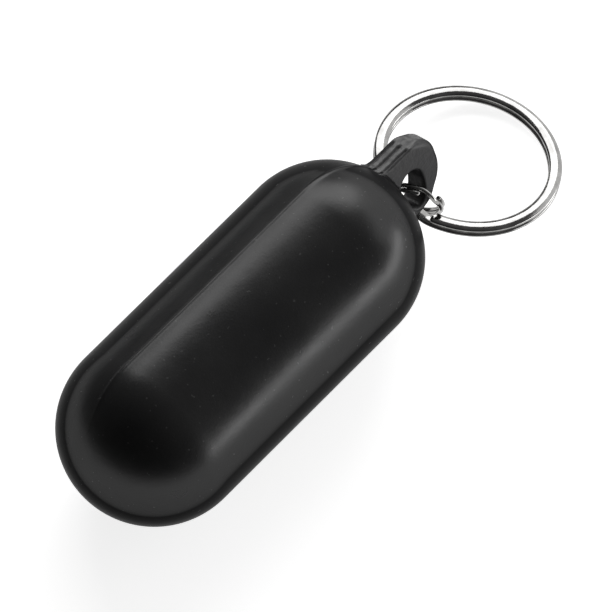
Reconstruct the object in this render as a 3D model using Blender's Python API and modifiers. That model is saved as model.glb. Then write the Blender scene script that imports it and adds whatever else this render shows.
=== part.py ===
"""Floating key holder: a foam float with a moulded loop, a small link ring and a key ring.

Metres, +Z up. +X runs along the float towards its loop. The origin is on the underside of the
float, halfway between its two dome centres, so the float lies on the plane z = 0.
"""

import math

import bmesh
import bpy
from mathutils import Matrix, Vector

# Float body: a cylinder with a hemisphere on each end
FLOAT_RADIUS = 0.0155
FLOAT_STRAIGHT = 0.0405
FLOAT_SIDES = 56
DOME_STEPS = 12

# Raised seam that the two halves of the mould leave around the float
SEAM_WIDTH = 0.0007
SEAM_HEIGHT = 0.00012

# Moulded loop. Its plane holds the float's axis and leans away from upright by LOOP_ROLL
LOOP_ROLL = math.radians(20.3)
LOOP_THICKNESS = 0.0043
LOOP_REACH = 0.0093
LOOP_TOP_HALF_WIDTH = 0.0069
LOOP_LOW_HALF_WIDTH = 0.0060
LOOP_TIP_TOP = 0.0026
LOOP_TIP_LOW = 0.0010
LOOP_TOP_CORNER = 0.0048
LOOP_LOW_CORNER = 0.0078
LOOP_ROOT_FLARE = 0.0011
LOOP_FLARE_LENGTH = 0.0024
LOOP_EDGE_ROUND = 0.0008
LOOP_SINK = 0.0040

# Eye through the loop, an egg shape that reaches further down than up from its widest place,
# which is EYE_RISE above the float's axis
EYE_WIDTH = 0.0049
EYE_RISE = 0.0003
EYE_TOP_REACH = 0.0025
EYE_LOW_REACH = 0.0050
EYE_FROM_TIP = 0.0065

# Grooves along both edges of the loop
GROOVE_WIDTH = 0.00045
GROOVE_DEPTH = 0.00035
GROOVE_SPACING = 0.0015
GROOVE_COUNT = 3
GROOVE_END = 0.0045

# Both rings are flat wire wound into two turns, with one step up between the turns
TURN_GAP = 0.00008

# The link's wire passes a little below the float's axis and towards the float
LINK_IN_EYE_DROP = 0.00118
LINK_IN_EYE_BACK = 0.00042

# Where the key ring's band passes through the link, from the link's centre. The band crosses the
# link at a slant, so it needs room on all sides
KEY_IN_LINK_BACK = 0.00108
KEY_IN_LINK_DROP = 0.00148

LINK_OUTER_DIAMETER = 0.0112
LINK_WIRE_WIDTH = 0.00085
LINK_WIRE_HEIGHT = 0.00075
LINK_YAW = math.radians(28.1)
LINK_LEAN = math.radians(-9.5)
LINK_EYE_ANGLE = math.radians(99.2)
LINK_SPIN = math.radians(30.0)
LINK_STEP_ANGLE = math.radians(40.0)
LINK_STEPS_PER_TURN = 48

KEY_OUTER_DIAMETER = 0.0304
KEY_WIRE_WIDTH = 0.00215
KEY_WIRE_HEIGHT = 0.00102
KEY_HEADING = math.radians(-6.7)
KEY_LOW_SIDE = math.radians(6.7)
KEY_SPIN = math.radians(180.0)
KEY_STEP_ANGLE = math.radians(22.0)
KEY_STEPS_PER_TURN = 90

WIRE_CORNER = 0.32

# Values that follow from the ones above
DOME_X = FLOAT_STRAIGHT / 2
AXIS_HEIGHT = FLOAT_RADIUS
TIP_FROM_DOME = FLOAT_RADIUS + LOOP_REACH
EYE_CENTRE = TIP_FROM_DOME - EYE_FROM_TIP
LINK_HEIGHT = 2 * LINK_WIRE_HEIGHT + TURN_GAP
KEY_HEIGHT = 2 * KEY_WIRE_HEIGHT + TURN_GAP
LINK_MEAN_RADIUS = (LINK_OUTER_DIAMETER - LINK_WIRE_WIDTH) / 2
KEY_MEAN_RADIUS = (KEY_OUTER_DIAMETER - KEY_WIRE_WIDTH) / 2

AXIS_DIRECTION = Vector((1, 0, 0))
LOOP_UP = Vector((0, math.sin(LOOP_ROLL), math.cos(LOOP_ROLL)))
LOOP_SIDE = Vector((0, -math.cos(LOOP_ROLL), math.sin(LOOP_ROLL)))
DOME_CENTRE = Vector((DOME_X, 0, AXIS_HEIGHT))


def clear_scene():
    for item in list(bpy.data.objects):
        bpy.data.objects.remove(item, do_unlink=True)


def new_collection(name):
    collection = bpy.data.collections.new(name)
    bpy.context.scene.collection.children.link(collection)
    return collection


def material(name, colour, roughness, metallic):
    made = bpy.data.materials.new(name)
    made.use_nodes = True
    shader = made.node_tree.nodes["Principled BSDF"]
    shader.inputs["Base Color"].default_value = (*colour, 1)
    shader.inputs["Roughness"].default_value = roughness
    shader.inputs["Metallic"].default_value = metallic
    return made


def mesh_object(name, mesh, collection):
    made = bpy.data.objects.new(name, mesh)
    collection.objects.link(made)
    return made


def as_guide(item):
    item.hide_render = True
    item.display_type = 'WIRE'


def add_boolean(target, cutter, operation):
    modifier = target.modifiers.new(cutter.name, 'BOOLEAN')
    modifier.object = cutter
    modifier.operation = operation
    modifier.solver = 'EXACT'


def arc(centre, half_width, half_height, start, end, steps):
    """Points on an ellipse's arc, from one angle in degrees to another."""
    points = []
    for index in range(steps + 1):
        angle = math.radians(start + (end - start) * index / steps)
        x = centre[0] + half_width * math.cos(angle)
        y = centre[1] + half_height * math.sin(angle)
        points.append((x, y))
    return points


def plate(name, outlines, thickness, collection):
    """A flat plate in the loop's plane, from closed outlines given from the dome's centre."""
    curve = bpy.data.curves.new(name, 'CURVE')
    curve.dimensions = '2D'
    curve.fill_mode = 'BOTH'
    curve.extrude = thickness / 2
    for outline in outlines:
        spline = curve.splines.new('POLY')
        spline.points.add(len(outline) - 1)
        for point, (x, y) in zip(spline.points, outline):
            point.co = (x, y, 0, 1)
        spline.use_cyclic_u = True
    flat = mesh_object(name, curve, collection)
    rotation = Matrix((AXIS_DIRECTION, LOOP_UP, -LOOP_SIDE)).transposed()
    flat.matrix_world = Matrix.Translation(DOME_CENTRE) @ rotation.to_4x4()
    bpy.context.view_layer.update()
    evaluated = flat.evaluated_get(bpy.context.evaluated_depsgraph_get())
    mesh = bpy.data.meshes.new_from_object(evaluated)
    cleaner = bmesh.new()
    cleaner.from_mesh(mesh)
    bmesh.ops.remove_doubles(cleaner, verts=cleaner.verts, dist=1e-6)
    bmesh.ops.recalc_face_normals(cleaner, faces=cleaner.faces)
    cleaner.to_mesh(mesh)
    cleaner.free()
    solid = mesh_object(name + "_solid", mesh, collection)
    solid.matrix_world = flat.matrix_world
    bpy.data.objects.remove(flat, do_unlink=True)
    as_guide(solid)
    return solid


def loop_outline():
    """The loop's outline, sunk into the dome, with a flare where it leaves the dome."""
    sunk = FLOAT_RADIUS - LOOP_SINK
    top = LOOP_TOP_HALF_WIDTH
    low = LOOP_LOW_HALF_WIDTH
    flare_top = math.sqrt(FLOAT_RADIUS ** 2 - (top + LOOP_ROOT_FLARE) ** 2)
    flare_low = math.sqrt(FLOAT_RADIUS ** 2 - (low + LOOP_ROOT_FLARE) ** 2)
    top_corner = (TIP_FROM_DOME - LOOP_TOP_CORNER, LOOP_TIP_TOP)
    low_corner = (TIP_FROM_DOME - LOOP_LOW_CORNER, LOOP_TIP_LOW)
    outline = [(sunk, -low - LOOP_ROOT_FLARE), (sunk, top + LOOP_ROOT_FLARE)]
    top_centre = (flare_top + LOOP_FLARE_LENGTH, top + LOOP_ROOT_FLARE)
    outline += arc(top_centre, LOOP_FLARE_LENGTH, LOOP_ROOT_FLARE, 180, 270, 6)
    outline += arc(top_corner, LOOP_TOP_CORNER, top - LOOP_TIP_TOP, 90, 0, 10)
    outline += arc(low_corner, LOOP_LOW_CORNER, low + LOOP_TIP_LOW, 0, -90, 12)
    low_centre = (flare_low + LOOP_FLARE_LENGTH, -low - LOOP_ROOT_FLARE)
    outline += arc(low_centre, LOOP_FLARE_LENGTH, LOOP_ROOT_FLARE, 90, 180, 6)
    return outline


def eye_outline():
    centre = (EYE_CENTRE, EYE_RISE)
    top = arc(centre, EYE_WIDTH / 2, EYE_TOP_REACH, 0, 165, 11)
    low = arc(centre, EYE_WIDTH / 2, EYE_LOW_REACH, 180, 345, 13)
    return top + low


def seam_outline():
    """The float's own long outline in the loop's plane, stood out by the seam's height."""
    radius = FLOAT_RADIUS + SEAM_HEIGHT
    near = arc((0, 0), radius, radius, -90, 90, 2 * DOME_STEPS)
    far = arc((-FLOAT_STRAIGHT, 0), radius, radius, 90, 270, 2 * DOME_STEPS)
    return near + far


def capsule(name, collection):
    """A half outline from pole to pole, turned about its axis with one flat facet down."""
    profile = []
    for index in range(DOME_STEPS + 1):
        angle = math.pi / 2 * (1 - index / DOME_STEPS)
        height = DOME_X + FLOAT_RADIUS * math.sin(angle)
        profile.append((FLOAT_RADIUS * math.cos(angle), height))
    profile += [(radius, -height) for radius, height in reversed(profile)]
    shape = bmesh.new()
    points = [shape.verts.new((radius, 0, height)) for radius, height in profile]
    for first, second in zip(points, points[1:]):
        shape.edges.new((first, second))
    mesh = bpy.data.meshes.new(name)
    shape.to_mesh(mesh)
    shape.free()
    item = mesh_object(name, mesh, collection)
    # The screw's axis is Z; a quarter turn about Y lays it along X, facet down
    half_facet = math.pi / FLOAT_SIDES
    turn = Matrix.Rotation(math.pi / 2, 4, 'Y') @ Matrix.Rotation(half_facet, 4, 'Z')
    # The facets' flats, not their corners, lie FLOAT_RADIUS from the axis
    across_flats = Matrix.Diagonal((1 / math.cos(half_facet), 1 / math.cos(half_facet), 1, 1))
    mesh.transform(across_flats)
    item.matrix_world = Matrix.Translation((0, 0, AXIS_HEIGHT)) @ turn
    screw = item.modifiers.new("turned", 'SCREW')
    screw.axis = 'Z'
    screw.steps = FLOAT_SIDES
    screw.render_steps = FLOAT_SIDES
    screw.use_merge_vertices = True
    screw.merge_threshold = 1e-6
    return item


def groove_cutter(name, edge, end, side_offset, collection):
    """A long square bar along the loop's edge. edge is its height in the loop's plane."""
    start = FLOAT_RADIUS - LOOP_SINK
    shape = bmesh.new()
    bmesh.ops.create_cube(shape, size=1)
    mesh = bpy.data.meshes.new(name)
    size = Vector((end - start, 2 * GROOVE_DEPTH, GROOVE_WIDTH))
    bmesh.ops.scale(shape, vec=size, verts=shape.verts)
    shape.to_mesh(mesh)
    shape.free()
    item = mesh_object(name, mesh, collection)
    rotation = Matrix((AXIS_DIRECTION, LOOP_UP, -LOOP_SIDE)).transposed()
    centre = DOME_CENTRE + AXIS_DIRECTION * (start + end) / 2
    centre = centre + LOOP_UP * edge + LOOP_SIDE * side_offset
    item.matrix_world = Matrix.Translation(centre) @ rotation.to_4x4()
    as_guide(item)
    return item


def build_float(parts, cutters):
    body = capsule("float_body", parts)
    seam = plate("seam", [seam_outline()], SEAM_WIDTH, cutters)
    loop = plate("loop", [loop_outline(), eye_outline()], LOOP_THICKNESS, cutters)
    rounding = loop.modifiers.new("rounded_edges", 'BEVEL')
    rounding.width = LOOP_EDGE_ROUND
    rounding.segments = 2
    rounding.limit_method = 'ANGLE'
    rounding.angle_limit = math.radians(50)
    end = TIP_FROM_DOME - GROOVE_END
    for label, edge in (("top", LOOP_TOP_HALF_WIDTH), ("low", -LOOP_LOW_HALF_WIDTH)):
        for index in range(GROOVE_COUNT):
            offset = (index - (GROOVE_COUNT - 1) / 2) * GROOVE_SPACING
            cutter = groove_cutter(f"groove_{label}_{index + 1}", edge, end, offset, cutters)
            add_boolean(loop, cutter, 'DIFFERENCE')
    add_boolean(body, seam, 'UNION')
    add_boolean(body, loop, 'UNION')
    body.data.materials.append(material("black_foam", (0.028, 0.028, 0.030), 0.45, 0))
    return body


def wire_section(name, width, height, collection):
    """The wire's own section as a closed curve, a rectangle with its corners cut."""
    cut = WIRE_CORNER * min(width, height)
    x = width / 2
    y = height / 2
    corners = [(x, -y + cut), (x, y - cut), (x - cut, y), (-x + cut, y)]
    corners += [(-across, -up) for across, up in corners]
    curve = bpy.data.curves.new(name, 'CURVE')
    curve.dimensions = '2D'
    curve.fill_mode = 'NONE'
    spline = curve.splines.new('POLY')
    spline.points.add(len(corners) - 1)
    for point, (across, up) in zip(spline.points, reversed(corners)):
        point.co = (across, up, 0, 1)
    spline.use_cyclic_u = True
    section = mesh_object(name, curve, collection)
    as_guide(section)
    return section


def split_ring(name, mean_radius, width, height, step_angle, steps, parts, cutters):
    """Two turns of wire about local Z, wound clockwise, with a step up before the second turn."""
    pitch = height + TURN_GAP
    whole_turn = 2 * math.pi
    length = 2 * whole_turn - step_angle
    count = round(steps * length / whole_turn)
    curve = bpy.data.curves.new(name, 'CURVE')
    curve.dimensions = '3D'
    curve.twist_mode = 'Z_UP'
    curve.bevel_mode = 'OBJECT'
    curve.bevel_object = wire_section(name + "_section", width, height, cutters)
    curve.use_fill_caps = True
    spline = curve.splines.new('POLY')
    spline.points.add(count)
    for index, point in enumerate(spline.points):
        along = length * index / count
        rise = min(max((along - whole_turn + step_angle) / step_angle, 0), 1)
        level = rise * rise * (3 - 2 * rise) - 0.5
        point.co = (
            mean_radius * math.cos(along),
            -mean_radius * math.sin(along),
            level * pitch,
            1,
        )
    return mesh_object(name, curve, parts)


def empty(name, place, collection, parent=None):
    item = bpy.data.objects.new(name, None)
    item.empty_display_size = 0.004
    collection.objects.link(item)
    item.parent = parent
    item.matrix_world = Matrix.Translation(place)
    return item


def key_ring_lean(near_height):
    """How far the key ring leans so that its lowest edge just meets the plane z = 0."""
    outer = KEY_OUTER_DIAMETER / 2
    low, high = 0.0, math.radians(60)
    for _ in range(60):
        lean = (low + high) / 2
        drop = math.atan(math.tan(lean) * math.cos(KEY_LOW_SIDE - KEY_HEADING))
        edge = near_height - KEY_MEAN_RADIUS * math.sin(drop)
        edge -= outer * math.sin(lean) + KEY_HEIGHT / 2 * math.cos(lean)
        if edge > 0:
            low = lean
        else:
            high = lean
    return lean, drop


def frame_matrix(x_axis, y_axis, z_axis, place):
    rotation = Matrix((x_axis, y_axis, z_axis)).transposed().to_4x4()
    return Matrix.Translation(place) @ rotation


def build_rings(parts, cutters):
    steel = material("bright_nickel", (0.80, 0.79, 0.77), 0.15, 1)
    up = Vector((0, 0, 1))

    # Where the link's wire passes through the eye
    in_eye = DOME_CENTRE + AXIS_DIRECTION * (EYE_CENTRE - LINK_IN_EYE_BACK)
    in_eye = in_eye - LOOP_UP * LINK_IN_EYE_DROP

    # The link faces link_front and its top leans that way; side is its own level direction
    link_front = Vector((math.cos(LINK_YAW), math.sin(LINK_YAW), 0))
    side = up.cross(-link_front)
    link_up = up * math.cos(LINK_LEAN) + link_front * math.sin(LINK_LEAN)
    to_eye = side * math.cos(LINK_EYE_ANGLE) + link_up * math.sin(LINK_EYE_ANGLE)
    link_centre = in_eye - to_eye * LINK_MEAN_RADIUS
    # The link swings about a line along the loop's lower leg, one wire's width above the leg
    leg_drop = EYE_LOW_REACH - EYE_RISE - LINK_WIRE_WIDTH
    at_leg = DOME_CENTRE + AXIS_DIRECTION * EYE_CENTRE - LOOP_UP * leg_drop
    link_pivot = empty("link_pivot", at_leg, parts)
    link = split_ring(
        "link_ring", LINK_MEAN_RADIUS, LINK_WIRE_WIDTH, LINK_WIRE_HEIGHT,
        LINK_STEP_ANGLE, LINK_STEPS_PER_TURN, parts, cutters,
    )
    link_place = frame_matrix(side, link_up, side.cross(link_up), link_centre)
    link.parent = link_pivot
    link.matrix_world = link_place @ Matrix.Rotation(LINK_SPIN, 4, 'Z')

    # Where the key ring's band passes through the link
    near = link_centre - side * KEY_IN_LINK_BACK - link_up * KEY_IN_LINK_DROP
    lean, drop = key_ring_lean(near.z)
    heading = Vector((
        math.cos(KEY_HEADING) * math.cos(drop),
        math.sin(KEY_HEADING) * math.cos(drop),
        -math.sin(drop),
    ))
    key_normal = Vector((
        math.sin(lean) * math.cos(KEY_LOW_SIDE),
        math.sin(lean) * math.sin(KEY_LOW_SIDE),
        math.cos(lean),
    ))
    key_centre = near + heading * KEY_MEAN_RADIUS
    key_pivot = empty("key_ring_pivot", near, parts, link_pivot)
    key = split_ring(
        "key_ring", KEY_MEAN_RADIUS, KEY_WIRE_WIDTH, KEY_WIRE_HEIGHT,
        KEY_STEP_ANGLE, KEY_STEPS_PER_TURN, parts, cutters,
    )
    key_place = frame_matrix(heading, key_normal.cross(heading), key_normal, key_centre)
    key.parent = key_pivot
    key.matrix_world = key_place @ Matrix.Rotation(KEY_SPIN, 4, 'Z')
    for ring in (link, key):
        ring.data.materials.append(steel)


def main():
    clear_scene()
    parts = new_collection("floating_keychain")
    cutters = new_collection("cutters")
    build_float(parts, cutters)
    build_rings(parts, cutters)


main()
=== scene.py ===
"""Looks for the floating keychain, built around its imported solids.

Metres, in the part's own frame: +Z up, +X runs along the float towards its loop, and the float
lies on the plane z = 0. The fine skins repeat the named sizes of the solids, apart from the
rounding of the loop's edges and the width of its grooves, which follow the photograph.
"""

import math

import bmesh
import bpy
from mathutils import Matrix, Vector

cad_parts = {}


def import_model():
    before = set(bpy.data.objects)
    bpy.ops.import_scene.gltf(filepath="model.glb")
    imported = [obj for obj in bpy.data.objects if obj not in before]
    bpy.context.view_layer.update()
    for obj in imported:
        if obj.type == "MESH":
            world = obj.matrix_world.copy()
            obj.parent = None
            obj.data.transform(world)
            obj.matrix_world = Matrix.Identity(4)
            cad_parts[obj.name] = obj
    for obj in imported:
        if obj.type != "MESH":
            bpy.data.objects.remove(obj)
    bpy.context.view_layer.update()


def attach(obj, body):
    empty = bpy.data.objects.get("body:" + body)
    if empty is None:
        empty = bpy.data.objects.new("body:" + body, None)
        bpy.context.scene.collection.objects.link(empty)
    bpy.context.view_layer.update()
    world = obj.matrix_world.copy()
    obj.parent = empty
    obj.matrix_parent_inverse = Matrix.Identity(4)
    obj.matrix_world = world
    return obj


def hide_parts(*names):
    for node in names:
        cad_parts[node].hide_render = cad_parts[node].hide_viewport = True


# Float body
FLOAT_RADIUS = 0.0155
FLOAT_STRAIGHT = 0.0405
SEAM_WIDTH = 0.0007
SEAM_HEIGHT = 0.00012
SEAM_SHOULDER = 0.0022
SEAM_SHOULDER_DROP = 0.00010
SEAM_FADE = 0.0124

# Moulded loop, in the plane of the float's axis and LOOP_UP
LOOP_ROLL = math.radians(20.3)
LOOP_THICKNESS = 0.0043
LOOP_REACH = 0.0093
LOOP_TOP_HALF_WIDTH = 0.0069
LOOP_LOW_HALF_WIDTH = 0.0060
LOOP_TIP_TOP = 0.0026
LOOP_TIP_LOW = 0.0010
LOOP_TOP_CORNER = 0.0048
LOOP_LOW_CORNER = 0.0078
LOOP_ROOT_FLARE = 0.0011
LOOP_FLARE_LENGTH = 0.0024
LOOP_EDGE_ROUND = 0.0004
LOOP_TIP_ROUND = 0.0012
LOOP_TIP_BLEND = 0.0025
LOOP_SINK = 0.0040
ROOT_FILLET = 0.0007
# Inside the loop's wall the fillet ends within this depth, from this share of its height
FILLET_TUCK = 0.0003
FILLET_TUCK_SHARE = 0.5

# Eye, two half-ellipses whose widest place is EYE_RISE above the float's axis
EYE_WIDTH = 0.0049
EYE_RISE = 0.0003
EYE_TOP_REACH = 0.0025
EYE_LOW_REACH = 0.0050
EYE_FROM_TIP = 0.0065
EYE_EDGE_ROUND = 0.0005

# Long grooves in the loop's top and bottom edges
GROOVE_WIDTH = 0.00055
GROOVE_DEPTH = 0.00035
GROOVE_SPACING = 0.0015
GROOVE_COUNT = 3
GROOVE_END = 0.0045
GROOVE_FADE = 0.0008

# Rings
TURN_GAP = 0.00008
LINK_IN_EYE_DROP = 0.00118
LINK_IN_EYE_BACK = 0.00042
KEY_IN_LINK_BACK = 0.00108
KEY_IN_LINK_DROP = 0.00148
LINK_OUTER_DIAMETER = 0.0112
LINK_WIRE_WIDTH = 0.00085
LINK_WIRE_HEIGHT = 0.00075
LINK_YAW = math.radians(28.1)
LINK_LEAN = math.radians(-9.5)
LINK_EYE_ANGLE = math.radians(99.2)
LINK_SPIN = math.radians(30.0)
LINK_STEP_ANGLE = math.radians(40.0)
KEY_OUTER_DIAMETER = 0.0304
KEY_WIRE_WIDTH = 0.00215
KEY_WIRE_HEIGHT = 0.00102
KEY_HEADING = math.radians(-6.7)
KEY_LOW_SIDE = math.radians(6.7)
KEY_SPIN = math.radians(180.0)
KEY_STEP_ANGLE = math.radians(22.0)
STEEPEST_KEY_LEAN = math.radians(60.0)
# The wire's section is a superellipse, just fuller than an ellipse, whose power is 2
WIRE_FULLNESS = 2.05
# The wire's ends are rounded: distance back from the end, in wire heights, and share of full size
WIRE_END = ((0.0, 0.55), (0.10, 0.80), (0.25, 0.95), (0.45, 1.0))

# How finely the float is drawn. In degrees round its axis: up to each limit, the step
SWEEP_STEPS = ((2.4, 0.3), (24.0, 0.8), (90.0, 2.2))
SWEEP_TOLERANCE = 0.001
FAR_DOME_STEPS = 40
BARREL_STEPS = 12
NEAR_DOME_STEPS = 24
# Within FINE_RADIUS of the axis the near dome has close rows, for the fillet round the loop
FINE_RADIUS = 0.0096
FINE_STEP = 0.00012
FINE_END = 0.0002

# How finely the loop and the wires are drawn
LOOP_STEPS = 300
FLARE_STEPS = 24
TOP_CORNER_STEPS = 40
LOW_CORNER_STEPS = 48
EYE_WALL_STEPS = 4
ROUND_STEPS = 6
FACE_STEPS = 8
EDGE_STEPS = 24
LOOP_SHARP_ANGLE = math.radians(60)
WIRE_SHARP_ANGLE = math.radians(50)
WIRE_SECTION_STEPS = 32
LINK_STEPS_PER_TURN = 140
KEY_STEPS_PER_TURN = 240
HALVINGS = 60
ON_EDGE = 1e-9

# Noise scales, in cells for each metre
BROAD_SCALE = 90
WAVE_SCALE = 240
PATCH_SCALE = 420
LUMP_SCALE = 1100
SPECK_SCALE = 1500
GRAIN_SCALE = 2600
WIRE_GRAIN_SCALE = 3800
# Most of a noise texture's values lie in this range
NOISE_MIDDLE = (0.3, 0.7)

# Black foam: its tone, its roughness and how strongly it is pebbled
SKIN_TONE = 0.014
SKIN_ROUGHNESS = (0.27, 0.34)
SKIN_PEBBLE = 0
LOOP_TONE = 0.042
LOOP_ROUGHNESS = (0.34, 0.46)
LOOP_PEBBLE = 0.4
SPECK_COLOUR = (0.05, 0.05, 0.05)
SPECK_EDGE = (0.735, 0.765)
# Colour of the painted highlight on the loop's edge ribs
RIB_SHEEN_COLOUR = (0.17, 0.17, 0.17)
# The foam's gloss falls between these values of the Layer Weight node's Facing output
GLOSS_FACING = (0.22, 0.57)
GLOSS_LEVEL = (0.39, 0.005)

# Bright nickel
NICKEL_DARK = (0.22, 0.218, 0.214)
NICKEL_LIGHT = (0.34, 0.337, 0.331)
NICKEL_ROUGHNESS = (0.07, 0.16)

# Camera: where it looks, from which side, and how much of the object fills the frame
CAMERA_TARGET = Vector((0.01296, -0.00207, 0.01188))
CAMERA_AZIMUTH = math.radians(-48.27)
CAMERA_ELEVATION = math.radians(62.0)
CAMERA_DISTANCE = 1.5
CAMERA_CLIP = (0.05, 20)
VIEW_WIDTH = 0.09638
SENSOR_WIDTH = 36.0

# Studio
FLOOR_SIZE = 3.0
FLOOR_SEGMENTS = 96
FLOOR_DROP = 0.00002
FLOOR_COLOUR = (0.82, 0.82, 0.82, 1)
FLOOR_LIFT = 0.80
# The room's brightness on the far and the near side, and the X direction over which it changes
WORLD_FAR = 0.03
WORLD_NEAR = 0.14
WORLD_TURN = (-0.7, 0.3)
LIGHT_TARGET = Vector((0.02, 0, 0.012))
# Soft boxes: name, direction from the object, distance, width and height, radiance
SOFT_BOXES = (
    ("left_box", (0.62, 0.53, 0.63), 0.45, (0.42, 0.28), 3.5),
    ("right_box", (0.66, -0.90, 0.01), 0.45, (0.45, 0.11), 6.8),
    ("end_box", (1.0, -0.10, 0.36), 0.8, (1.10, 0.58), 1.15),
)

# Values that follow from the ones above
DOME_X = FLOAT_STRAIGHT / 2
TIP_FROM_DOME = FLOAT_RADIUS + LOOP_REACH
GROOVES_REACH = TIP_FROM_DOME - GROOVE_END
EYE_CENTRE = TIP_FROM_DOME - EYE_FROM_TIP
LINK_MEAN_RADIUS = (LINK_OUTER_DIAMETER - LINK_WIRE_WIDTH) / 2
KEY_MEAN_RADIUS = (KEY_OUTER_DIAMETER - KEY_WIRE_WIDTH) / 2
KEY_HEIGHT = 2 * KEY_WIRE_HEIGHT + TURN_GAP
AXIS_DIRECTION = Vector((1, 0, 0))
LOOP_UP = Vector((0, math.sin(LOOP_ROLL), math.cos(LOOP_ROLL)))
LOOP_SIDE = Vector((0, -math.cos(LOOP_ROLL), math.sin(LOOP_ROLL)))
DOME_CENTRE = Vector((DOME_X, 0, FLOAT_RADIUS))


def smoothstep(low, high, value):
    share = min(max((value - low) / (high - low), 0), 1)
    return share * share * (3 - 2 * share)


def arc(centre, half_width, half_height, start, end, steps):
    """Points on an ellipse's arc, from one angle in degrees to another."""
    points = []
    for index in range(steps + 1):
        angle = math.radians(start + (end - start) * index / steps)
        x = centre[0] + half_width * math.cos(angle)
        y = centre[1] + half_height * math.sin(angle)
        points.append((x, y))
    return points


def mesh_piece(name, rows, wrap_rows, caps, sharp_angle):
    """A smooth shaded mesh from rows of points. Each row closes on itself.

    A cap is a pole, the row it closes and whether to flip it. Without a pole it is one flat face.
    """
    shape = bmesh.new()
    made = [[shape.verts.new(point) for point in row] for row in rows]
    pairs = list(zip(made, made[1:]))
    if wrap_rows:
        pairs.append((made[-1], made[0]))
    for lower, upper in pairs:
        for index in range(len(lower)):
            after = (index + 1) % len(lower)
            shape.faces.new((lower[index], lower[after], upper[after], upper[index]))
    for pole, row, flip in caps:
        ring = made[row]
        if pole is None:
            shape.faces.new(list(reversed(ring)) if flip else ring)
            continue
        tip = shape.verts.new(pole)
        for index in range(len(ring)):
            after = (index + 1) % len(ring)
            corners = (ring[after], ring[index], tip)
            shape.faces.new(tuple(reversed(corners)) if flip else corners)
    bmesh.ops.recalc_face_normals(shape, faces=shape.faces)
    mesh = bpy.data.meshes.new(name)
    shape.to_mesh(mesh)
    shape.free()
    mesh.shade_smooth()
    if sharp_angle is not None:
        mesh.set_sharp_from_angle(angle=sharp_angle)
    piece = bpy.data.objects.new(name, mesh)
    bpy.context.scene.collection.objects.link(piece)
    return piece


# Float


def sweep_angles():
    """Angles round the float's axis from LOOP_UP, closest together at the seam and the loop."""
    quarter = []
    angle = 0.0
    while angle < 90.0 - SWEEP_TOLERANCE:
        quarter.append(angle)
        angle += next(step for limit, step in SWEEP_STEPS if angle < limit)
    quarter.append(90.0)
    first = quarter + [180 - value for value in reversed(quarter[:-1])]
    second = [360 - value for value in reversed(first[1:-1])]
    return [math.radians(value) for value in first + second]


def seam_rise(off_plane):
    """The mould line: a low ridge, with the far half of the skin falling away beside it."""
    ridge = SEAM_HEIGHT * math.exp(-((off_plane / (SEAM_WIDTH / 2)) ** 2))
    if off_plane < 0:
        ridge -= SEAM_SHOULDER_DROP * smoothstep(0, SEAM_SHOULDER, -off_plane)
    return ridge


def fillet_rise(up, side):
    """How far the dome curves up to meet the loop's wall, near the loop's footprint."""
    over_up = max(up - LOOP_TOP_HALF_WIDTH, -up - LOOP_LOW_HALF_WIDTH)
    over_side = abs(side) - LOOP_THICKNESS / 2
    if over_up < 0 and over_side < 0:
        inside = -max(over_up, over_side)
        return FILLET_TUCK_SHARE * ROOT_FILLET * max(1 - inside / FILLET_TUCK, 0)
    gap = math.hypot(max(over_up, 0), max(over_side, 0))
    if gap > ROOT_FILLET:
        return 0.0
    return ROOT_FILLET - math.sqrt(ROOT_FILLET ** 2 - (ROOT_FILLET - gap) ** 2)


def float_row(x, radius, angles, near_loop=False):
    """One closed row of the float's skin, at one place along its axis."""
    # The mould line fades out over the plain dome
    seam_share = smoothstep(-DOME_X - SEAM_FADE, -DOME_X, x)
    row = []
    for angle in angles:
        up = radius * math.cos(angle)
        side = radius * math.sin(angle)
        outward = Vector((max(x - DOME_X, 0) + min(x + DOME_X, 0), 0, 0))
        outward += LOOP_UP * up + LOOP_SIDE * side
        point = Vector((x, 0, FLOAT_RADIUS)) + LOOP_UP * up + LOOP_SIDE * side
        point += outward.normalized() * seam_rise(side) * seam_share
        if near_loop:
            point.x += fillet_rise(up, side)
        row.append(point)
    return row


def build_float_skin():
    angles = sweep_angles()
    rows = []
    for index in range(1, FAR_DOME_STEPS + 1):
        polar = math.pi / 2 * index / FAR_DOME_STEPS
        x = -DOME_X - FLOAT_RADIUS * math.cos(polar)
        rows.append(float_row(x, FLOAT_RADIUS * math.sin(polar), angles))
    for index in range(1, BARREL_STEPS + 1):
        x = -DOME_X + FLOAT_STRAIGHT * index / BARREL_STEPS
        rows.append(float_row(x, FLOAT_RADIUS, angles))
    fine_polar = math.asin(FINE_RADIUS / FLOAT_RADIUS)
    for index in range(1, NEAR_DOME_STEPS):
        polar = math.pi / 2 - (math.pi / 2 - fine_polar) * index / NEAR_DOME_STEPS
        x = DOME_X + FLOAT_RADIUS * math.cos(polar)
        rows.append(float_row(x, FLOAT_RADIUS * math.sin(polar), angles))
    radius = FINE_RADIUS
    while radius > FINE_END:
        x = DOME_X + math.sqrt(FLOAT_RADIUS ** 2 - radius ** 2)
        rows.append(float_row(x, radius, angles, near_loop=True))
        radius -= FINE_STEP
    far_pole = Vector((-DOME_X - FLOAT_RADIUS, 0, FLOAT_RADIUS))
    near_pole = Vector((DOME_X + FLOAT_RADIUS, 0, FLOAT_RADIUS))
    caps = [(far_pole, 0, False), (near_pole, -1, True)]
    return mesh_piece("float_skin", rows, False, caps, None)


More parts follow.
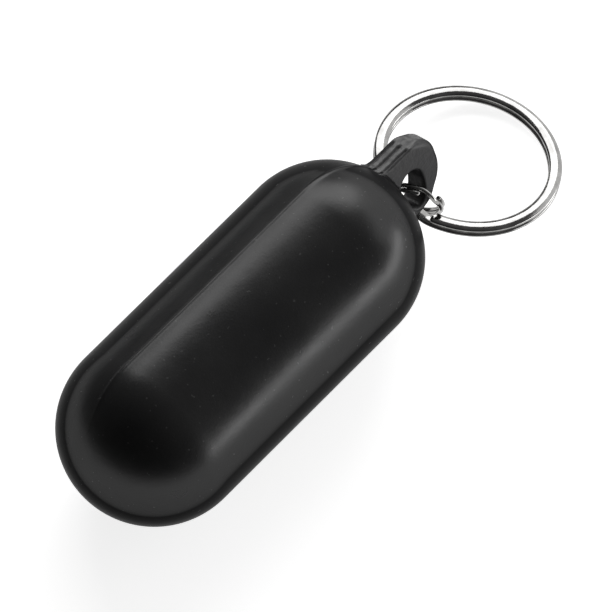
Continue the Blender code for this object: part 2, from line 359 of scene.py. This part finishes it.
def loop_outline():
    """The loop's outline, from the dome's centre along the axis and LOOP_UP."""
    sunk = FLOAT_RADIUS - LOOP_SINK
    top = LOOP_TOP_HALF_WIDTH
    low = LOOP_LOW_HALF_WIDTH
    flare_top = math.sqrt(FLOAT_RADIUS ** 2 - (top + LOOP_ROOT_FLARE) ** 2)
    flare_low = math.sqrt(FLOAT_RADIUS ** 2 - (low + LOOP_ROOT_FLARE) ** 2)
    top_corner = (TIP_FROM_DOME - LOOP_TOP_CORNER, LOOP_TIP_TOP)
    low_corner = (TIP_FROM_DOME - LOOP_LOW_CORNER, LOOP_TIP_LOW)
    top_centre = (flare_top + LOOP_FLARE_LENGTH, top + LOOP_ROOT_FLARE)
    low_centre = (flare_low + LOOP_FLARE_LENGTH, -low - LOOP_ROOT_FLARE)
    outline = [(sunk, -low - LOOP_ROOT_FLARE), (sunk, top + LOOP_ROOT_FLARE)]
    outline += arc(top_centre, LOOP_FLARE_LENGTH, LOOP_ROOT_FLARE, 180, 270, FLARE_STEPS)
    outline += arc(top_corner, LOOP_TOP_CORNER, top - LOOP_TIP_TOP, 90, 0, TOP_CORNER_STEPS)
    outline += arc(low_corner, LOOP_LOW_CORNER, low + LOOP_TIP_LOW, 0, -90, LOW_CORNER_STEPS)
    outline += arc(low_centre, LOOP_FLARE_LENGTH, LOOP_ROOT_FLARE, 90, 180, FLARE_STEPS)
    return outline


def reach_along(outline, centre, angle):
    """How far it is from a centre to a closed outline, in one direction."""
    across = (math.cos(angle), math.sin(angle))
    best = 0.0
    for (x0, y0), (x1, y1) in zip(outline, outline[1:] + outline[:1]):
        x0, x1 = x0 - centre[0], x1 - centre[0]
        y0, y1 = y0 - centre[1], y1 - centre[1]
        first = across[0] * y0 - across[1] * x0
        second = across[0] * y1 - across[1] * x1
        if first == second or first * second > 0:
            continue
        share = first / (first - second)
        distance = (x0 + (x1 - x0) * share) * across[0] + (y0 + (y1 - y0) * share) * across[1]
        best = max(best, distance)
    return best


def groove_depth(along, side):
    """Depth of the long grooves on the loop's edges."""
    depth = 0.0
    for index in range(GROOVE_COUNT):
        offset = (index - (GROOVE_COUNT - 1) / 2) * GROOVE_SPACING
        depth += math.exp(-((abs(side - offset) / (GROOVE_WIDTH / 2)) ** 3))
    return GROOVE_DEPTH * depth * (1 - smoothstep(GROOVES_REACH - GROOVE_FADE, GROOVES_REACH, along))


def quarter_round(size):
    """A rounded edge, as pairs of distances from its two tangent faces."""
    points = []
    for index in range(ROUND_STEPS + 1):
        angle = math.pi / 2 * index / ROUND_STEPS
        points.append((size * (1 - math.cos(angle)), size * (1 - math.sin(angle))))
    return points


def loop_section(inner, outer, cosine):
    """Half of the loop's section from the eye out to its edge, as (distance, side) pairs.

    The loop's edges are close to square beside the grooves and well rounded at the tip.
    """
    half = LOOP_THICKNESS / 2
    along = EYE_CENTRE + outer * cosine
    tip_share = smoothstep(GROOVES_REACH, GROOVES_REACH + LOOP_TIP_BLEND, along)
    edge_round = LOOP_EDGE_ROUND + (LOOP_TIP_ROUND - LOOP_EDGE_ROUND) * tip_share
    section = []
    for index in range(EYE_WALL_STEPS):
        section.append((inner, (half - EYE_EDGE_ROUND) * index / EYE_WALL_STEPS))
    for from_eye, from_face in quarter_round(EYE_EDGE_ROUND):
        section.append((inner + from_eye, half - from_face))
    start = inner + EYE_EDGE_ROUND
    end = outer - edge_round
    for index in range(1, FACE_STEPS):
        section.append((start + (end - start) * index / FACE_STEPS, half))
    for from_face, from_edge in quarter_round(edge_round):
        section.append((outer - from_edge, half - from_face))
    for index in range(1, EDGE_STEPS):
        section.append((outer, (half - edge_round) * (1 - index / EDGE_STEPS)))
    return section


def build_loop_skin():
    outline = loop_outline()
    centre = (EYE_CENTRE, EYE_RISE)
    rows = []
    rib_sheen = []
    for index in range(LOOP_STEPS):
        angle = 2 * math.pi * index / LOOP_STEPS
        cosine = math.cos(angle)
        sine = math.sin(angle)
        eye_reach = EYE_TOP_REACH if sine > 0 else EYE_LOW_REACH
        inner = 1 / math.hypot(cosine / (EYE_WIDTH / 2), sine / eye_reach)
        outer = reach_along(outline, centre, angle)
        half = loop_section(inner, outer, cosine)
        mirrored = [(distance, -side) for distance, side in reversed(half[1:])]
        row = []
        for distance, side in half + [(outer, 0.0)] + mirrored:
            along = centre[0] + distance * cosine
            up = centre[1] + distance * sine
            on_edge = distance > outer - ON_EDGE
            depth = 0.0
            if on_edge and abs(up) > LOOP_TIP_TOP:
                depth = groove_depth(along, side)
                up -= math.copysign(depth, up)
            rib_sheen.append(1 - depth / GROOVE_DEPTH if on_edge else 0.0)
            row.append(DOME_CENTRE + AXIS_DIRECTION * along + LOOP_UP * up + LOOP_SIDE * side)
        rows.append(row)
    piece = mesh_piece("loop_skin", rows, True, [], LOOP_SHARP_ANGLE)
    # Painted highlight for the foam's look: the loop's outer edge without its grooves, which stay
    # dark as painted shade
    piece.data.attributes.new("rib_sheen", 'FLOAT', 'POINT').data.foreach_set("value", rib_sheen)
    return piece


# Rings


def wire_section(width, height):
    """The drawn wire's section, as (across, up) pairs."""
    power = 2 / WIRE_FULLNESS
    section = []
    for index in range(WIRE_SECTION_STEPS):
        angle = 2 * math.pi * index / WIRE_SECTION_STEPS
        across = math.copysign(abs(math.cos(angle)) ** power, math.cos(angle))
        up = math.copysign(abs(math.sin(angle)) ** power, math.sin(angle))
        section.append((across * width / 2, up * height / 2))
    return section


def build_ring(name, place, mean_radius, width, height, step_angle, steps):
    """Two turns of flat wire about local Z with a step up between them, as in the solid."""
    pitch = height + TURN_GAP
    whole_turn = 2 * math.pi
    length = 2 * whole_turn - step_angle
    count = round(steps * length / whole_turn)
    section = wire_section(width, height)
    nose = [(back * height / mean_radius, share) for back, share in WIRE_END]
    start = nose[-1][0]
    end = length - start
    stations = nose[:-1]
    stations += [(start + (end - start) * index / count, 1.0) for index in range(count + 1)]
    stations += [(length - back, share) for back, share in reversed(nose[:-1])]
    rows = []
    for along, share in stations:
        rise = smoothstep(whole_turn - step_angle, whole_turn, along) - 0.5
        row = []
        for across, up in section:
            radius = mean_radius + across * share
            point = (radius * math.cos(along), -radius * math.sin(along), rise * pitch + up * share)
            row.append(place @ Vector(point))
        rows.append(row)
    caps = [(None, 0, True), (None, -1, False)]
    return mesh_piece(name, rows, False, caps, WIRE_SHARP_ANGLE)


def frame_matrix(x_axis, y_axis, z_axis, place):
    rotation = Matrix((x_axis, y_axis, z_axis)).transposed().to_4x4()
    return Matrix.Translation(place) @ rotation


def key_ring_lean(near_height):
    """How far the key ring leans so that its lowest edge just meets the plane z = 0."""
    outer = KEY_OUTER_DIAMETER / 2
    low = 0.0
    high = STEEPEST_KEY_LEAN
    for _ in range(HALVINGS):
        lean = (low + high) / 2
        drop = math.atan(math.tan(lean) * math.cos(KEY_LOW_SIDE - KEY_HEADING))
        edge = near_height - KEY_MEAN_RADIUS * math.sin(drop)
        edge -= outer * math.sin(lean) + KEY_HEIGHT / 2 * math.cos(lean)
        if edge > 0:
            low = lean
        else:
            high = lean
    return lean, drop


def build_rings():
    up = Vector((0, 0, 1))
    in_eye = DOME_CENTRE + AXIS_DIRECTION * (EYE_CENTRE - LINK_IN_EYE_BACK)
    in_eye = in_eye - LOOP_UP * LINK_IN_EYE_DROP
    link_front = Vector((math.cos(LINK_YAW), math.sin(LINK_YAW), 0))
    side = up.cross(-link_front)
    link_up = up * math.cos(LINK_LEAN) + link_front * math.sin(LINK_LEAN)
    to_eye = side * math.cos(LINK_EYE_ANGLE) + link_up * math.sin(LINK_EYE_ANGLE)
    link_centre = in_eye - to_eye * LINK_MEAN_RADIUS
    link_place = frame_matrix(side, link_up, side.cross(link_up), link_centre)
    link = build_ring(
        "link_wire", link_place @ Matrix.Rotation(LINK_SPIN, 4, 'Z'), LINK_MEAN_RADIUS,
        LINK_WIRE_WIDTH, LINK_WIRE_HEIGHT, LINK_STEP_ANGLE, LINK_STEPS_PER_TURN,
    )
    near = link_centre - side * KEY_IN_LINK_BACK - link_up * KEY_IN_LINK_DROP
    lean, drop = key_ring_lean(near.z)
    heading = Vector((
        math.cos(KEY_HEADING) * math.cos(drop),
        math.sin(KEY_HEADING) * math.cos(drop),
        -math.sin(drop),
    ))
    key_normal = Vector((
        math.sin(lean) * math.cos(KEY_LOW_SIDE),
        math.sin(lean) * math.sin(KEY_LOW_SIDE),
        math.cos(lean),
    ))
    key_centre = near + heading * KEY_MEAN_RADIUS
    key_place = frame_matrix(heading, key_normal.cross(heading), key_normal, key_centre)
    key = build_ring(
        "key_wire", key_place @ Matrix.Rotation(KEY_SPIN, 4, 'Z'), KEY_MEAN_RADIUS,
        KEY_WIRE_WIDTH, KEY_WIRE_HEIGHT, KEY_STEP_ANGLE, KEY_STEPS_PER_TURN,
    )
    return link, key


# Materials


def new_material(name):
    made = bpy.data.materials.new(name)
    made.use_nodes = True
    return made, made.node_tree.nodes, made.node_tree.links


def noise_node(nodes, links, coordinates, scale, detail, roughness=0.5):
    texture = nodes.new('ShaderNodeTexNoise')
    texture.inputs['Scale'].default_value = scale
    texture.inputs['Detail'].default_value = detail
    texture.inputs['Roughness'].default_value = roughness
    links.new(coordinates, texture.inputs['Vector'])
    return texture.outputs['Fac']


def ranged(nodes, links, value, source, target):
    """A value mapped from one (low, high) range to another, and held at its ends."""
    mapper = nodes.new('ShaderNodeMapRange')
    mapper.inputs['From Min'].default_value = source[0]
    mapper.inputs['From Max'].default_value = source[1]
    mapper.inputs['To Min'].default_value = target[0]
    mapper.inputs['To Max'].default_value = target[1]
    links.new(value, mapper.inputs['Value'])
    return mapper.outputs['Result']


def combined(nodes, links, operation, first, second):
    made = nodes.new('ShaderNodeMath')
    made.operation = operation
    links.new(first, made.inputs[0])
    links.new(second, made.inputs[1])
    return made.outputs[0]


def mixed_towards(nodes, links, share, colour, other):
    """A colour from other nodes, mixed towards a fixed one."""
    mixer = nodes.new('ShaderNodeMix')
    mixer.data_type = 'RGBA'
    mixer.inputs['B'].default_value = (*other, 1)
    links.new(share, mixer.inputs['Factor'])
    links.new(colour, mixer.inputs['A'])
    return mixer.outputs['Result']


def bump(nodes, links, height, distance, strength, before=None):
    made = nodes.new('ShaderNodeBump')
    made.inputs['Distance'].default_value = distance
    made.inputs['Strength'].default_value = strength
    links.new(height, made.inputs['Height'])
    if before is not None:
        links.new(before, made.inputs['Normal'])
    return made.outputs['Normal']


def colour_ramp(nodes, links, value, stops):
    ramp = nodes.new('ShaderNodeValToRGB')
    elements = ramp.color_ramp.elements
    for element, (position, colour) in zip(elements, stops):
        element.position = position
        element.color = (*colour, 1)
    links.new(value, ramp.inputs['Fac'])
    return ramp.outputs['Color']


def foam_material(name, tone_level, roughness, pebble):
    """Black closed-cell foam with a moulded skin: even, fine grained, with a few pale specks.

    Pebbled foam also gets a painted highlight: paler patches on the loop's outer edge ribs, where a
    mesh attribute marks them, with the grooves left dark as painted shade.
    """
    made, nodes, links = new_material(name)
    shader = nodes['Principled BSDF']
    place = nodes.new('ShaderNodeTexCoord').outputs['Object']
    broad = noise_node(nodes, links, place, BROAD_SCALE, detail=3)
    grain = noise_node(nodes, links, place, GRAIN_SCALE, detail=4, roughness=0.6)
    wave = noise_node(nodes, links, place, WAVE_SCALE, detail=2)
    specks = noise_node(nodes, links, place, SPECK_SCALE, detail=1, roughness=0.4)

    colour = colour_ramp(nodes, links, broad, [
        (0.30, (0.80 * tone_level, 0.80 * tone_level, 0.84 * tone_level)),
        (0.70, (1.20 * tone_level, 1.18 * tone_level, 1.20 * tone_level)),
    ])
    dust = ranged(nodes, links, specks, SPECK_EDGE, (0, 1))
    colour = mixed_towards(nodes, links, dust, colour, SPECK_COLOUR)
    normal = bump(nodes, links, grain, distance=0.00004, strength=0.35)
    normal = bump(nodes, links, wave, distance=0.00012, strength=0.25, before=normal)
    if pebble:
        lumps = noise_node(nodes, links, place, LUMP_SCALE, detail=2)
        normal = bump(nodes, links, lumps, distance=0.00025, strength=pebble, before=normal)
        # Painted highlight: the loop's edge ribs mixed paler in lumpy patches; the grooves stay dark
        # as painted shade
        rib_sheen_attribute = nodes.new('ShaderNodeAttribute')
        rib_sheen_attribute.attribute_name = "rib_sheen"
        patches = ranged(nodes, links, lumps, (0.35, 0.6), (0.35, 1))
        rib_sheen_share = combined(nodes, links, 'MULTIPLY', rib_sheen_attribute.outputs['Fac'], patches)
        colour = mixed_towards(nodes, links, rib_sheen_share, colour, RIB_SHEEN_COLOUR)
    links.new(colour, shader.inputs['Base Color'])
    links.new(normal, shader.inputs['Normal'])

    links.new(ranged(nodes, links, broad, NOISE_MIDDLE, roughness), shader.inputs['Roughness'])
    # The skin's fine texture dulls its gloss at low angles
    slant = nodes.new('ShaderNodeLayerWeight')
    slant.inputs['Blend'].default_value = 0.5
    gloss = ranged(nodes, links, slant.outputs['Facing'], GLOSS_FACING, GLOSS_LEVEL)
    links.new(gloss, shader.inputs['Specular IOR Level'])
    return made


def nickel_material():
    """Bright nickel on drawn steel wire, with faint rubbed patches."""
    made, nodes, links = new_material("bright_nickel_look")
    shader = nodes['Principled BSDF']
    shader.inputs['Metallic'].default_value = 1.0
    place = nodes.new('ShaderNodeTexCoord').outputs['Object']
    patches = noise_node(nodes, links, place, PATCH_SCALE, detail=4)
    fine = noise_node(nodes, links, place, WIRE_GRAIN_SCALE, detail=3)
    tone = colour_ramp(nodes, links, patches, [(0.30, NICKEL_DARK), (0.65, NICKEL_LIGHT)])
    links.new(tone, shader.inputs['Base Color'])
    rough = ranged(nodes, links, patches, NOISE_MIDDLE, NICKEL_ROUGHNESS)
    links.new(rough, shader.inputs['Roughness'])
    normal = bump(nodes, links, fine, distance=0.00002, strength=0.3)
    links.new(normal, shader.inputs['Normal'])
    return made


def put_material(piece, material):
    piece.data.materials.clear()
    piece.data.materials.append(material)


# Stage


def floor_material():
    """Matt white paper."""
    made, nodes, links = new_material("floor_paper")
    shader = nodes['Principled BSDF']
    shader.inputs['Base Color'].default_value = FLOOR_COLOUR
    shader.inputs['Roughness'].default_value = 0.9
    shader.inputs['Specular IOR Level'].default_value = 0.1
    # Camera, mirror and glass rays all see the paper lifted to white; the shadow stays on it
    path = nodes.new('ShaderNodeLightPath')
    seen = path.outputs['Is Camera Ray']
    for other in ('Is Glossy Ray', 'Is Transmission Ray'):
        seen = combined(nodes, links, 'MAXIMUM', seen, path.outputs[other])
    lift = ranged(nodes, links, seen, (0, 1), (0, FLOOR_LIFT))
    shader.inputs['Emission Color'].default_value = (1, 1, 1, 1)
    links.new(lift, shader.inputs['Emission Strength'])
    return made


def build_floor():
    shape = bmesh.new()
    bmesh.ops.create_circle(shape, cap_ends=True, radius=FLOOR_SIZE, segments=FLOOR_SEGMENTS)
    mesh = bpy.data.meshes.new("floor")
    shape.to_mesh(mesh)
    shape.free()
    floor = bpy.data.objects.new("floor", mesh)
    bpy.context.scene.collection.objects.link(floor)
    floor.location.z = -FLOOR_DROP
    put_material(floor, floor_material())


def build_world():
    world = bpy.data.worlds.new("studio")
    bpy.context.scene.world = world
    world.use_nodes = True
    nodes = world.node_tree.nodes
    links = world.node_tree.links
    background = nodes['Background']
    background.inputs['Color'].default_value = (1, 1, 1, 1)
    # The room is dimmer on the float's far side
    split = nodes.new('ShaderNodeSeparateXYZ')
    links.new(nodes.new('ShaderNodeTexCoord').outputs['Generated'], split.inputs[0])
    level = ranged(nodes, links, split.outputs['X'], WORLD_TURN, (WORLD_FAR, WORLD_NEAR))
    links.new(level, background.inputs['Strength'])


def soft_light(name, direction, distance, size, radiance):
    """A rectangular soft box of a given radiance, facing the middle of the object."""
    light = bpy.data.lights.new(name, 'AREA')
    light.shape = 'RECTANGLE'
    light.size = size[0]
    light.size_y = size[1]
    light.energy = radiance * math.pi * size[0] * size[1]
    lamp = bpy.data.objects.new(name, light)
    bpy.context.scene.collection.objects.link(lamp)
    towards = Vector(direction).normalized()
    turn = towards.to_track_quat('Z', 'Y').to_matrix().to_4x4()
    lamp.matrix_world = Matrix.Translation(LIGHT_TARGET + towards * distance) @ turn


def build_camera():
    towards = Vector((
        math.sin(CAMERA_AZIMUTH) * math.cos(CAMERA_ELEVATION),
        -math.cos(CAMERA_AZIMUTH) * math.cos(CAMERA_ELEVATION),
        math.sin(CAMERA_ELEVATION),
    ))
    right = Vector((math.cos(CAMERA_AZIMUTH), math.sin(CAMERA_AZIMUTH), 0))
    up = towards.cross(right)
    data = bpy.data.cameras.new("camera")
    data.sensor_width = SENSOR_WIDTH
    data.lens = SENSOR_WIDTH * CAMERA_DISTANCE / VIEW_WIDTH
    data.clip_start, data.clip_end = CAMERA_CLIP
    camera = bpy.data.objects.new("camera", data)
    bpy.context.scene.collection.objects.link(camera)
    camera.matrix_world = frame_matrix(right, up, towards, CAMERA_TARGET + towards * CAMERA_DISTANCE)
    bpy.context.scene.camera = camera


def main():
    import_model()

    skin = build_float_skin()
    put_material(skin, foam_material("foam_skin", SKIN_TONE, SKIN_ROUGHNESS, SKIN_PEBBLE))
    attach(skin, "float")
    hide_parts("float_body")

    loop = build_loop_skin()
    put_material(loop, foam_material("loop_foam", LOOP_TONE, LOOP_ROUGHNESS, LOOP_PEBBLE))
    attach(loop, "float")
    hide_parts("float_body")

    link, key = build_rings()
    nickel = nickel_material()
    for ring, body, node in ((link, "link", "link_ring"), (key, "keys_ring", "key_ring")):
        put_material(ring, nickel)
        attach(ring, body)
        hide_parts(node)

    build_floor()
    build_world()
    for box in SOFT_BOXES:
        soft_light(*box)
    build_camera()
    bpy.context.scene.view_settings.view_transform = 'Standard'


main()
